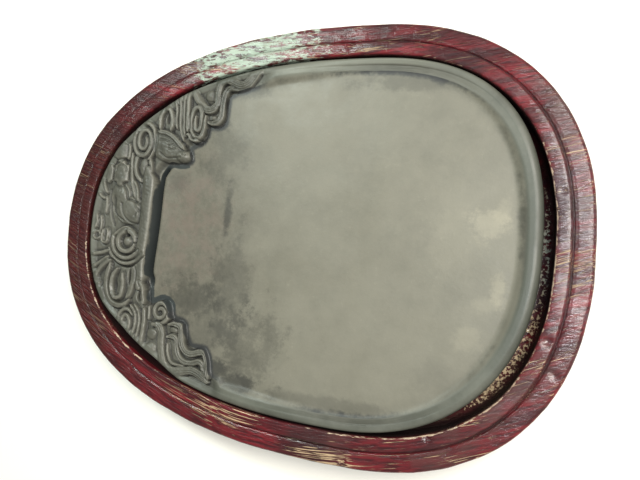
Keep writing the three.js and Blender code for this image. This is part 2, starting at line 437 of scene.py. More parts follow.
SCARF_ROLLS = [
    Roll([(-43, 47), (-41, 46.6), (-38.3, 47.3), (-36.8, 50), (-36.7, 55), (-36.2, 59), (-34, 61.8),
          (-30.5, 62), (-27, 61.7), (-24.5, 63.5), (-22, 66.5), (-19.5, 68.5)], 1.6, 0.35, (0,)),
    Roll([(-20.5, 69.8), (-23.5, 67), (-26, 64), (-29, 63.3), (-32, 64.5), (-35.5, 65.7),
          (-38.5, 64), (-39.6, 60), (-39.8, 55), (-41.5, 52.8), (-44.5, 52.8), (-47, 55),
          (-50, 58.5), (-52.5, 62.5)], 1.9, 0.25, (-0.5, 0, 0.5)),
    Roll([(-44.5, 50), (-44.8, 45), (-46, 41), (-48.5, 40.3), (-51, 43), (-51.7, 48),
          (-50.8, 52.5), (-48.5, 53.8), (-46.8, 51.5), (-46.6, 47), (-47.2, 44), (-48.8, 43.8),
          (-49.6, 46.5), (-49.3, 49.8)], 1.05, 0.3),
]
HAIR_ROLLS = [
    Roll([(-60.5, 60.5), (-60.8, 57), (-59.8, 53), (-59.8, 48), (-58.8, 44.5)], 0.9, 0.9),
    Roll([(-58.3, 61.5), (-58.4, 57), (-57.6, 53), (-57.3, 47), (-56.3, 43), (-54.8, 39)], 0.9, 0.8),
    Roll([(-56, 62), (-56.2, 56), (-55.8, 50), (-55.2, 44), (-54.3, 41)], 0.8, 0.9),
    Roll([(-53.6, 61.5), (-54, 57), (-53.7, 52), (-53.4, 47), (-53, 43)], 1.1, 0.3),
    Roll([(-53.6, 41.5), (-52.3, 41.8), (-51.6, 40.2), (-50, 39.2), (-47, 38.9)], 0.8, 0.6),
]
HEAD_ROLLS = [
    Roll([(-67.2, 44), (-67.6, 49), (-66.2, 52.5), (-63.5, 53.2), (-61.8, 50.5), (-61.2, 46),
          (-61.8, 43.5)], 1.1, 0.2),
    Roll([(-68, 43), (-64, 42.5), (-60.5, 40.8), (-57, 38), (-54, 35.2)], 1.2, 0.35, (0,)),
]
SCROLL_ROLLS = [
    Roll([(-80.8, 33), (-80.6, 28), (-79.9, 22), (-78.3, 16.5), (-76, 11.5)], 1.0, 0.5),
    Roll([(-78.6, 20.5), (-76.8, 17), (-75.6, 11.5)], 0.8, 0.9),
    Roll([(-73.4, 33), (-77.6, 32), (-78.6, 27.5), (-77.3, 23), (-74.2, 20.6), (-71.3, 22.2),
          (-70.4, 26.5), (-71.2, 31.5)], 1.1, 0.35),
    Roll(spiral(-75.3, 38.6, (6.6, 9.6), (1.4, 2.2), 2.3, -60), 1.05, 0.25),
]
CLOUD_ROLLS = [
    Roll([(-83.2, 37), (-83, 30.5)], 1.4, 0.6),
    Roll([(-92, 27), (-93, 20)], 2.0, 0.9),
    Roll([(-86.2, 28.2), (-86.2, 19.5)], 4.2, 0.25),
    Roll([(-87.5, 37.6), (-87.6, 30.5)], 3.9, 0.3),
    Roll([(-71.8, 26), (-71, 18), (-70.8, 8), (-70.8, -2), (-71.3, -10), (-71.8, -18),
          (-70.5, -27)], 3.3, 0.35),
]
COIL_ROLLS = [
    Roll(arc(-79.3, -7, 10, 200, 330), 1.0, 0.7),
    Roll(arc(-79.3, -7, 7.6, 150, 330), 1.1, 0.4),
    Roll([(-86, -4.5), (-83, -2.2), (-80, -1), (-76.5, -2.5), (-74, -5)], 1.0, 0.1),
    Roll(arc(-79.3, -7, 4.6, 0, 345), 1.2, 0.15),
]
STRIP_ROLLS = [
    Roll([(-95.6, 21), (-94.6, 17.5), (-93.2, 14.5)], 0.9, 0.9),
    Roll([(-97.6, 14.5), (-95.6, 12.5), (-93.6, 12)], 0.8, 0.9),
    Roll([(-93, 13), (-92.6, 9), (-92.8, 5)], 0.8, 1.0),
    Roll([(-93, -2), (-93.3, -7.5), (-90.6, -8), (-90.2, -3), (-91.6, -1.6)], 0.6, 0.7),
    Roll(arc(-96.3, -5, 1.8, 0, 340), 0.6, 0.8),
    Roll([(-97.5, 5), (-97, 1), (-97.6, -2)], 0.7, 1.0),
    Roll([(-95, 4), (-94.4, 0), (-94.8, -3)], 0.7, 0.9),
]
RIB_ROLLS = [
    Roll([(-98, -14), (-93, -13), (-88.5, -11.5)], 1.0, 0.9),
    Roll([(-97, -20), (-93, -17.5), (-88.5, -14.5)], 1.1, 0.7),
    Roll([(-95.5, -28), (-93.8, -22), (-90.5, -18), (-87, -16)], 1.3, 0.6),
    Roll([(-92, -26.5), (-93.5, -30), (-92.5, -34.5), (-88.5, -35.5)], 1.2, 0.9),
    Roll([(-73.8, -18.5), (-73.6, -24), (-74.6, -29), (-76, -32)], 1.4, 0.4),
    Roll([(-70.2, -24.5), (-68.3, -27), (-67.6, -31), (-66.9, -34)], 1.0, 0.4),
    Roll([(-86.8, -17.5), (-88, -23), (-88, -28), (-86.3, -32.5), (-82.5, -35.5), (-78, -35.7),
          (-74.8, -33)], 1.3, 0.3),
    Roll([(-82.6, -19.5), (-84.8, -23), (-85, -28.5), (-82.8, -32.5), (-79.6, -31.5), (-79, -27),
          (-79.6, -21.5)], 1.1, 0.35),
]
LOW_SCROLL_ROLLS = [
    Roll([(-78.5, -49.5), (-75.5, -52), (-72.5, -51)], 1.4, 0.9),
    Roll([(-71.6, -34.5), (-68.8, -38.5), (-68.2, -44), (-69.3, -49.5)], 0.8, 0.6),
    Roll([(-73.5, -35), (-70.8, -38.5), (-70.2, -43.5), (-71.4, -48.5)], 0.9, 0.4),
    Roll(spiral(-75.8, -43, (4.6, 6.4), (1.2, 2.0), 1.6, 30), 1.0, 0.25),
    Roll([(-63.6, -34.5), (-63.2, -40.5)], 0.8, 0.6),
    Roll([(-66.2, -35), (-65.6, -41), (-65.8, -46), (-66.4, -52), (-67, -57)], 1.2, 0.2),
    Roll(spiral(-57.4, -36.6, (5, 5), (1.2, 1.2), 1.7, 250), 1.1, 0.2),
]
RIBBON_ROLLS = [
    Roll([(-52.6, -49.5), (-52, -53.5), (-50.3, -57), (-47, -58.2), (-43, -58.3)], 0.8, 0.7),
    Roll([(-53, -46.8), (-50.5, -46.4), (-48.3, -47.3), (-47.8, -50.5), (-46.6, -54),
          (-43.8, -56.3), (-40, -56.6), (-36.5, -55.5), (-34.3, -56.5), (-33.4, -60),
          (-31.5, -63)], 1.4, 0.45, (0,)),
    Roll([(-61, -42.3), (-58, -42.6), (-56.3, -45.5), (-56, -50), (-55, -55), (-53, -59),
          (-49.5, -60.8), (-44, -60.4), (-39.5, -59.6), (-35.5, -60.8), (-31.5, -63.3)],
         1.9, 0.3, (-0.5, 0, 0.5)),
    Roll([(-52.6, -41.5), (-49.5, -40.9), (-46.7, -42), (-46, -45.5), (-45.2, -49.3),
          (-43.2, -52), (-40, -52.7), (-37, -51.7), (-34, -51.4), (-32.6, -54), (-31.7, -58),
          (-31, -61.5)], 1.5, 0.25, (-0.3, 0.4)),
]
ROLLS = (
    SCARF_ROLLS + HAIR_ROLLS + HEAD_ROLLS + SCROLL_ROLLS + CLOUD_ROLLS + COIL_ROLLS
    + STRIP_ROLLS + RIB_ROLLS + LOW_SCROLL_ROLLS + RIBBON_ROLLS
)
print(len(ROLLS), "rolls")

# %% [markdown]
# Between the rolls the ground swells into mounds, such as the beast's brow and the bellies of the
# clouds, and drops into hollows, such as its ear. Grooves are single cuts: an eye, a mouth, the
# folds of a cloud.

# %% Mounds, hollows and grooves
Dome = namedtuple("Dome", "x y half_x half_y depth turn", defaults=[0])
Groove = namedtuple("Groove", "path depth")

MOUNDS = [
    Dome(-64, 36.5, 11, 6.5, 0.4, -28), Dome(-55, 32.3, 4.6, 3, 0.5, -8),
    Dome(-74.5, 27, 2.2, 4.5, 0.7), Dome(-85.5, 13.5, 5.3, 6.5, 0.3),
    Dome(-79, 7, 8.5, 6.5, 0.15), Dome(-79.3, -7, 2.2, 2.2, 0.9),
    Dome(-90, -31, 3, 3.5, 1.2), Dome(-84, -42, 3.5, 4, 1.4),
    Dome(-61.5, -46.5, 2.6, 2.6, 1.1), Dome(-61, -52.5, 3, 2.4, 1.0),
    Dome(-50, -43.6, 2.4, 1.8, 0.9), Dome(-40.3, 48.6, 1.5, 1.5, 0.35),
    Dome(-43, 59, 3, 2.6, 0.9),
]
HOLLOWS = [
    Dome(-64.3, 49, 1.5, 3, 1.6), Dome(-88.3, 10.5, 2, 4, 1.2), Dome(-79.6, -3.6, 1.2, 2, 1.8),
    Dome(-84, -27.5, 1.8, 4.5, 0.9), Dome(-76.6, -22.5, 0.9, 5, 2.2),
    Dome(-70.2, -31, 1.6, 3, 2.0), Dome(-53.4, 32.8, 0.8, 0.6, 0.7), Dome(-60.1, 36.2, 0.7, 0.6, 0.3),
]
GROOVES = [
    Groove([(-50, 61), (-47, 57), (-43.5, 55.3), (-41, 56)], 0.7),
    Groove([(-62, 36.6), (-60.2, 37.4), (-58.4, 36.6)], 0.5),
    Groove([(-61.8, 35.4), (-60, 35.0), (-58.6, 35.6)], 0.45),
    Groove([(-66, 33.4), (-63, 31.4), (-59.5, 31.4), (-55.5, 31.6)], 0.5),
    Groove([(-67, 39.6), (-63.8, 39.2), (-61, 38.4)], 0.4),
    Groove([(-57.2, 34.8), (-55.4, 34.2), (-54.4, 33)], 0.35),
    Groove([(-69.5, 46), (-69, 40), (-69.3, 35), (-70, 30)], 1.0),
    Groove([(-90.5, 27.5), (-89.5, 29.6), (-86, 30.2), (-82.6, 29.4), (-81.6, 27)], 1.0),
    Groove([(-88.8, 25), (-88, 27), (-86, 27.6), (-84, 27), (-83.4, 25)], 0.7),
    Groove([(-84.5, 19), (-82, 15.5), (-81.2, 12.2), (-78.5, 11.6), (-75, 10)], 0.9),
    Groove([(-88.6, 7), (-85.5, 4), (-82.2, 2.2)], 0.8),
    Groove([(-91.5, 16), (-90.6, 9), (-89.6, 4), (-87.6, 0)], 1.0),
    Groove([(-80.5, 17.5), (-78, 13.4), (-76.4, 9.4), (-74.4, 6.8)], 0.5),
    Groove([(-84, 10), (-82.5, 5.2), (-79, 1.9), (-75.4, 1.2)], 0.6),
    Groove([(-76.2, 4.6), (-74.8, 7.6), (-74.6, 10.4)], 0.5),
    Groove([(-86, -15.5), (-82, -17.8), (-77, -18.2), (-72.5, -16.2), (-69.5, -13.2)], 1.2),
]
print(len(MOUNDS), "mounds,", len(HOLLOWS), "hollows and", len(GROOVES), "grooves")

# %% [markdown]
# ## Cutting the relief
# The relief is one number for each place: its depth under the top of the rim. It starts as a
# lowered ground, and mounds, rolls, hollows and grooves change it one after another, as the
# carver works from big shapes to small. Each roll first sinks a narrow trench along both its
# edges, which is what makes one roll seem to pass over the next.

# %% Relief functions
GROUND_DEPTH = 2.2
TRENCH_DEPTH, TRENCH_WIDTH = 0.5, 0.75
CUT_DEPTH, CUT_WIDTH = 0.3, 0.38
WIDEST_ROUNDED = 2.8  # a roll wider than this is no rounder than one of this half-width
ROUND_POWER = 3.5  # the higher it is, the flatter the top of a roll
LEAST_DEPTH = 0.1


def near(path, places, reach):
    """Which places are inside the path's own box with reach added round it."""
    low, high = path.min(0) - reach, path.max(0) + reach
    return np.flatnonzero(((places > low) & (places < high)).all(1))


def dome_level(dome, places):
    """0 in the middle of the dome, 1 on its edge."""
    turn = math.radians(dome.turn)
    u, v = places[:, 0] - dome.x, places[:, 1] - dome.y
    along = (u * math.cos(turn) + v * math.sin(turn)) / dome.half_x
    across = (v * math.cos(turn) - u * math.sin(turn)) / dome.half_y
    return np.hypot(along, across)


def cut_roll(depth, roll, places):
    path = smooth_path(roll.path)
    picked = near(path, places, roll.half_width + TRENCH_WIDTH)
    distance, share, side = path_distance(path, places[picked])
    width = roll.half_width * (0.5 + 0.5 * smooth(0, 0.1, share) * smooth(0, 0.1, 1 - share))
    here = depth[picked]
    here += TRENCH_DEPTH * (1 - smooth(0, TRENCH_WIDTH, distance - width))
    to_edge = np.clip(distance / width, 0, 1)
    top = roll.crest + 0.5 * np.minimum(width, WIDEST_ROUNDED) * to_edge ** ROUND_POWER
    for place in roll.cuts:
        top += CUT_DEPTH * (1 - smooth(0, CUT_WIDTH, np.abs(distance * side - place * width)))
    depth[picked] = here + (top - here) * smooth(-0.15, 0.3, width - distance)


def cut_groove(depth, groove, places):
    path = smooth_path(groove.path)
    picked = near(path, places, TRENCH_WIDTH)
    distance = path_distance(path, places[picked])[0]
    depth[picked] += groove.depth * (1 - smooth(0, TRENCH_WIDTH, distance))


def relief_depth(places, ground, rough):
    """The depth of the carving under the rim's top. rough is a small unevenness."""
    depth = ground.copy()
    for dome in MOUNDS:
        level = np.clip(dome_level(dome, places), 0, 1)
        swell = dome.depth + (ground - dome.depth) * (1 - np.sqrt(1 - level**2))
        depth = np.minimum(depth, swell)
    for roll in ROLLS:
        cut_roll(depth, roll, places)
    for dome in HOLLOWS:
        depth += dome.depth * (1 - smooth(0.2, 1, dome_level(dome, places)))
    for groove in GROOVES:
        cut_groove(depth, groove, places)
    return np.maximum(depth + rough, LEAST_DEPTH)


# %% [markdown]
# ## Where the points of the stone go
# The rings of the stone's top are pulled so that they follow the edge between the carving and the
# grinding field, because a height grid can only make a crisp wall if its own lines run along it.
# Rings are packed across the carved band and thinned over the plain field, and the rays are
# packed on the carved side for the same reason. Two stretches of the outline were dressed back
# further than the oval, which leaves a wider gap to the tray there.

# %% Edge of the field
POLE = (-25.0, 0.0)
RIM_WIDTH, CREST_INSET = 5.6, 2.8
FIELD = STONE._replace(
    back=STONE.back - RIM_WIDTH, front=STONE.front - RIM_WIDTH, half=STONE.half - RIM_WIDTH,
)
CARVING_EDGE = [
    (-12, 66), (-20, 63), (-30, 60.2), (-34.3, 58), (-34.8, 52), (-35, 48.5), (-37.2, 45.6),
    (-43.2, 45), (-44, 41.5), (-46, 38.8), (-50, 37.6), (-52.6, 36.3), (-51.3, 33), (-51, 30.8),
    (-52.8, 29.3), (-57, 29), (-62, 29.2), (-65.8, 25.5), (-67.4, 20), (-67.8, 0), (-68.7, -18),
    (-67, -24), (-65.6, -33), (-59.5, -31.2), (-54.8, -33), (-53.2, -38), (-50.5, -39.7),
    (-46, -40.5), (-44.6, -45), (-42.4, -49.3), (-38, -50), (-34.3, -50.2), (-32, -54),
    (-30.4, -60.2), (-25, -62.5),
]
DRESSED_BACK = [(230, 25, 2.3), (134, 18, 0.7)]  # middle and half of a stretch in degrees, depth


def ray_to_path(path, start, angle):
    """The radius at which a ray from the start crosses the path, or infinity."""
    a = path[:-1] - start
    along = np.diff(path, axis=0)
    ray = np.array([math.cos(angle), math.sin(angle)])
    facing = ray[0] * along[:, 1] - ray[1] * along[:, 0]
    safe = np.where(facing == 0, 1, facing)
    share = (a[:, 1] * ray[0] - a[:, 0] * ray[1]) / -safe
    reach = (a[:, 0] * along[:, 1] - a[:, 1] * along[:, 0]) / safe
    hits = (facing != 0) & (share >= 0) & (share <= 1) & (reach > 0)
    return reach[hits].min() if hits.any() else math.inf


def spaced_angles(first, last, count):
    return np.radians(first + (last - first) * np.arange(count) / count)


CARVED_FROM, CARVED_TO = 79, 269
CARVED_RAYS, PLAIN_RAYS = 560, 150
angles = np.concatenate([
    spaced_angles(CARVED_FROM, CARVED_TO, CARVED_RAYS),
    spaced_angles(CARVED_TO, CARVED_FROM + 360, PLAIN_RAYS),
])
carving_path = smooth_path(CARVING_EDGE)
field_radius = np.minimum(
    ray_to_oval(FIELD, POLE, angles), [ray_to_path(carving_path, POLE, a) for a in angles],
)
field_edge = np.column_stack(
    [POLE[0] + field_radius * np.cos(angles), POLE[1] + field_radius * np.sin(angles)],
)
pulled_in = np.zeros_like(angles)
for middle, half, amount in DRESSED_BACK:
    pulled_in += amount * (1 - smooth(0.3, 1, np.abs(np.degrees(angles) - middle) / half))
crest_ring = inset_ring(STONE, POLE, angles, CREST_INSET + pulled_in)
print(f"the field's edge is {field_radius.min():.1f} to {field_radius.max():.1f} mm from the pole")

# %% [markdown]
# The share of each ray that the band takes up sets how many rings cross it: 88 where there is
# carving, 16 over a plain rim, and a gentle change between the two.

# %% Places of the top rings
TOP_RINGS = 118
BAND_RINGS, PLAIN_RINGS = 88, 16
BLURRED_RAYS = 15  # the change from carved to plain is averaged over this many rays
FIELD_PACKING = 1.7  # above 1, rings lie closer together near the edge of the field
band_width = np.hypot(*(crest_ring - field_edge).T)
has_carving = smooth(3.0, 5.5, band_width)
wrapped = np.concatenate([has_carving] * 3)
kernel = np.ones(BLURRED_RAYS) / BLURRED_RAYS
has_carving = np.convolve(wrapped, kernel, "same")[len(angles):2 * len(angles)]
rings_to_edge = PLAIN_RINGS + (BAND_RINGS - PLAIN_RINGS) * has_carving

ring_number = np.arange(TOP_RINGS)[:, None]
across_band = np.clip(ring_number / rings_to_edge, 0, 1)[..., None]
across_field = np.clip((ring_number - rings_to_edge) / (TOP_RINGS - rings_to_edge), 0, 1)
across_field **= FIELD_PACKING
outer_part = crest_ring + (field_edge - crest_ring) * across_band
top_places = outer_part + (np.array(POLE) - field_edge) * across_field[..., None]
print("places on top:", top_places.shape[0] * top_places.shape[1])

# %% [markdown]
# ## Heights of the top
# The rim falls a little towards the field, the field is a shallow dish that slopes down to the
# carving, and the well is a channel along the foot of the clouds. Where the carving reaches the
# stone's outer edge it grows shallower, and the next cell lowers the top of the side with it, so
# that the strokes run out over the rounded edge.

# %% Heights
FIELD_DEPTH, SLOPE_DEPTH, WELL_DEPTH = 2.0, 5.0, 10.5
SLOPE_FROM, SLOPE_TO = -24, -66
RIM_FALL = 0.15
WALL_SOFTNESS = 0.45  # how far the carving's wall leans to each side
RIM_SLOPE_FROM, RIM_SLOPE_TO = 1.2, 3.4  # the same for the plain rim
WELL_WIDTH = 2.5
SEED = 17
WELL_ENDS = (-27, -20), (24, 28.5)  # where the well fades in and out along y
WELL_FROM, WELL_TO = -61, -57  # and along x
MEASURED_PARTS = 160  # distances are worked out part by part, which keeps the tables small


def between(ends, value):
    """1 between two soft ends, each given as the values where it starts and stops."""
    rise, fall = ends
    return smooth(*rise, value) * (1 - smooth(*fall, value))


flat_places = top_places.reshape(-1, 2)
x, y = flat_places.T
closed_edge = np.vstack([field_edge, field_edge[:1]])
parts = np.array_split(flat_places, MEASURED_PARTS)
edge_gap = np.concatenate([path_distance(closed_edge, part)[0] for part in parts])
inside_field = (ring_number > rings_to_edge).ravel()
into_field = np.where(inside_field, edge_gap, -edge_gap)
carved = np.tile(has_carving, TOP_RINGS)

rng = np.random.default_rng(SEED)


def uneven(places, size, count=24):
    """Smooth unevenness from -1 to 1 or so: a sum of waves about size millimetres long."""
    total = np.zeros(len(places))
    for _ in range(count):
        turn, phase = rng.uniform(0, 2 * math.pi, 2)
        pace = 2 * math.pi / (size * rng.uniform(0.6, 1.6))
        total += np.sin(pace * (places @ [math.cos(turn), math.sin(turn)]) + phase)
    return total / math.sqrt(count / 2) / 2


slope = smooth(0, 1, (SLOPE_FROM - x) / (SLOPE_FROM - SLOPE_TO))
bed = FIELD_DEPTH + (SLOPE_DEPTH - FIELD_DEPTH) * slope
near_edge = 1 - smooth(0.6, 3.4, -into_field)
ground = GROUND_DEPTH + (bed - GROUND_DEPTH) * near_edge
rough = 0.1 * uneven(flat_places, 5) + 0.05 * uneven(flat_places, 1.6)
relief = relief_depth(flat_places, ground, rough)
rim = RIM_FALL * across_band.ravel() ** 1.5
past_crest = np.hypot(*(flat_places - np.tile(crest_ring, (TOP_RINGS, 1))).T)
fade_in = smooth(-2.4, 0.9, past_crest) * carved
band = rim + (relief - rim) * fade_in

along_well = between(WELL_ENDS, y) * (1 - smooth(WELL_FROM, WELL_TO, x))
channel = along_well * (1 - smooth(0.5, WELL_WIDTH, into_field))
field_depth = bed + (WELL_DEPTH - bed) * channel + 0.04 * uneven(flat_places, 22)
wall_from = -WALL_SOFTNESS * carved - RIM_SLOPE_FROM * (1 - carved)
wall_to = WALL_SOFTNESS * carved + RIM_SLOPE_TO * (1 - carved)
into_wall = smooth(wall_from, wall_to, into_field)
top_depth = band + (np.maximum(field_depth, np.minimum(band, bed)) - band) * into_wall
print(f"deepest point {top_depth.max():.1f} mm under the rim")

# %% [markdown]
# ## The inkstone
# The side rings are the same oval at growing insets, narrower at the bottom, as a slab is dressed
# with a slight taper. Light and shade in the carving come mostly from the real shape, and the
# material also darkens its low places. How far each place lies under its surroundings is kept as
# an attribute, so that the material can darken exactly those.

# %% Build the inkstone
SIDE_PROFILE = [  # inset, height above the underside
    (24, 0), (5.4, 0), (4.4, 0.5), (3.0, 2.3), (1.6, 4.6), (0.65, 7.0), (0.15, 9.8), (0, 12.2),
    (0, 14.6), (0.15, 15.5), (0.6, 16.3), (1.3, 16.85), (2.1, 17.12),
]
CARVED_ABOVE = 15  # side points higher than this are lowered with the carving
FINE_REACH, WIDE_REACH = 4, 11  # neighbours that a place is compared with
FINE_DEPTH, WIDE_DEPTH = 0.8, 1.5  # a place this far under them counts as fully low
INKY_LIMIT_X = -52
INKY_ENDS = (-38, -33), (27, 30)


def inkstone_mesh():
    side = []
    for inset, height in SIDE_PROFILE:
        ring = inset_ring(STONE, POLE, angles, inset + pulled_in)
        z = np.full(len(angles), STONE_Z + height)
        if height > CARVED_ABOVE:
            cut = relief_depth(ring, np.full(len(angles), GROUND_DEPTH), 0)
            z -= cut * has_carving * smooth(-0.2, CREST_INSET + 0.3, inset)
        side.append(np.column_stack([ring, z]))
    heights = RIM_Z - top_depth.reshape(TOP_RINGS, -1)
    top_rings = np.dstack([top_places, heights])
    middle_height = heights[-1].mean()
    rings = np.concatenate([side, top_rings])
    return ring_body("inkstone_carved", (*POLE, STONE_Z), rings, (*POLE, middle_height))


def blurred(grid, reach):
    """The mean over reach neighbours each way, round the rings and across them."""
    kernel = np.ones(2 * reach + 1) / (2 * reach + 1)
    around = np.hstack([grid[:, -reach:], grid, grid[:, :reach]])
    around = np.apply_along_axis(np.convolve, 1, around, kernel, "valid")
    across = np.vstack([around[:1]] * reach + [around] + [around[-1:]] * reach)
    return np.apply_along_axis(np.convolve, 0, across, kernel, "valid")


def spread_over_body(values, side_value=0.0):
    """Values on the top rings, with side_value on the underside and the side, and the last value at the
    top's middle.
    """
    before = np.full(1 + len(SIDE_PROFILE) * len(angles), side_value)
    return np.concatenate([before, np.ravel(values), [np.ravel(values)[-1]]])


inkstone = inkstone_mesh()
depth_grid = top_depth.reshape(TOP_RINGS, -1)
low_places = np.clip((depth_grid - blurred(depth_grid, FINE_REACH)) / FINE_DEPTH, -1, 1)
wide_low = np.clip((depth_grid - blurred(depth_grid, WIDE_REACH)) / WIDE_DEPTH, -1, 1)
on_band = 1 - smooth(-0.3, 0.3, into_field)
low = np.clip(low_places * 0.7 + wide_low * 0.5, 0, 1).ravel() * on_band
add_attribute(inkstone, "low", spread_over_body(low))
add_attribute(inkstone, "high", spread_over_body(np.clip(-low_places, 0, 1).ravel() * on_band))
field_from, field_to = -1.0 + 0.8 * carved, 0.9 - 0.2 * carved
add_attribute(inkstone, "field", spread_over_body(smooth(field_from, field_to, into_field)))
add_attribute(inkstone, "carving", spread_over_body(carved * on_band, 0.5))
beside_wall = smooth(-0.5, -0.1, into_field) * carved
inky_wall = beside_wall * (1 - smooth(1.2, 2.6, into_field)) * (x < INKY_LIMIT_X)
add_attribute(inkstone, "well", spread_over_body(inky_wall * between(INKY_ENDS, y)))
wall_foot = beside_wall * (1 - smooth(0.2, 3.4, into_field))
add_attribute(inkstone, "wall foot", spread_over_body(wall_foot))
rim_foot = np.exp(-((into_field - 1.4) / 2.0) ** 2) * (1 - carved)
add_attribute(inkstone, "rim foot", spread_over_body(rim_foot))
print("inkstone:", len(inkstone.data.polygons), "faces")

# %% [markdown]
# ## Sweeping a moulding
# The tray's rim is one profile carried round an oval, and each foot is a short strip carried along
# the same curve. That is a sweep, so one Geometry Nodes tree makes them all: it turns the outline
# and the profile into curves, carries one along the other with Curve to Mesh, and then lets a
# noise push the surface about by a fraction of a millimetre, as hand tools leave it.

# %% Sweep tree
GEOMETRY = "NodeSocketGeometry"
SWEEP_SEED = 4.0
SWEEP_INPUTS = {
    "Outline": GEOMETRY, "Profile": "NodeSocketObject", "Fill Ends": "NodeSocketBool",
    "Wobble": FLOAT, "Finish": "NodeSocketMaterial",
}


def sweep_tree():
    tree = bpy.data.node_groups.new("Hand-cut Moulding", "GeometryNodeTree")
    for label, kind in SWEEP_INPUTS.items():
        tree.interface.new_socket(label, in_out="INPUT", socket_type=kind)
    tree.interface.new_socket("Moulding", in_out="OUTPUT", socket_type=GEOMETRY)
    given = node(tree, "NodeGroupInput").outputs
    result = node(tree, "NodeGroupOutput").inputs

    outline = node(tree, "GeometryNodeMeshToCurve", {"Mesh": given["Outline"]})
    upright = node(tree, "GeometryNodeSetCurveNormal", {"Curve": outline.outputs[0]})
    upright.mode = "Z_UP"
    info = node(tree, "GeometryNodeObjectInfo", {"Object": given["Profile"]})
    profile = node(tree, "GeometryNodeMeshToCurve", {"Mesh": info.outputs["Geometry"]})
    swept = node(tree, "GeometryNodeCurveToMesh", {
        "Curve": upright.outputs[0], "Profile Curve": profile.outputs[0],
        "Fill Caps": given["Fill Ends"],
    })

    place = node(tree, "GeometryNodeInputPosition").outputs[0]
    inputs = {"Vector": place, "Scale": 70.0, "Detail": 4.0, "W": SWEEP_SEED}
    slow = node(tree, "ShaderNodeTexNoise", inputs, noise_dimensions="4D")
    centred = vector_maths(tree, "SUBTRACT", slow.outputs["Color"], (0.5, 0.5, 0.5))
    push = node(tree, "ShaderNodeVectorMath", {0: centred, "Scale": given["Wobble"]}, operation="SCALE")
    inputs = {"Geometry": swept.outputs[0], "Offset": push.outputs[0]}
    worked = node(tree, "GeometryNodeSetPosition", inputs)
    real = node(tree, "GeometryNodeRealizeInstances", {"Geometry": worked.outputs[0]})
    inputs = {"Geometry": real.outputs[0], "Material": given["Finish"]}
    finished = node(tree, "GeometryNodeSetMaterial", inputs)
    feed(tree, result["Moulding"], finished.outputs[0])
    return tree


SWEEP = sweep_tree()


def set_input(modifier, label, value):
    """Sets a modifier's input by the identifier of its socket."""
    for item in modifier.node_group.interface.items_tree:
        if item.in_out == "INPUT" and item.name == label:
            modifier[item.identifier] = value


def loop_edges(count, closed):
    last = count if closed else count - 1
    return [(i, (i + 1) % count) for i in range(last)]


def sweep(name, outline, outline_closed, profile, profile_closed, wobble, finish, facts=None):
    """Carries the profile along the outline and gives back a plain mesh object."""
    path = mesh_object(name + "_outline", outline, [], loop_edges(len(outline), outline_closed))
    section = mesh_object(name + "_profile", profile, [], loop_edges(len(profile), profile_closed))
    for label, values in (facts or {}).items():
        add_attribute(section, label, values)
    modifier = path.modifiers.new("Moulding", "NODES")
    modifier.node_group = SWEEP
    set_input(modifier, "Profile", section)
    set_input(modifier, "Fill Ends", profile_closed)
    set_input(modifier, "Wobble", wobble * MM)
    set_input(modifier, "Finish", finish)
    evaluated = path.evaluated_get(bpy.context.evaluated_depsgraph_get())
    piece = bpy.data.objects.new(name, bpy.data.meshes.new_from_object(evaluated))
    bpy.context.scene.collection.objects.link(piece)
    for used in (path, section):
        bpy.data.objects.remove(used)
    return piece


print("built the Geometry Nodes tree", SWEEP.name)
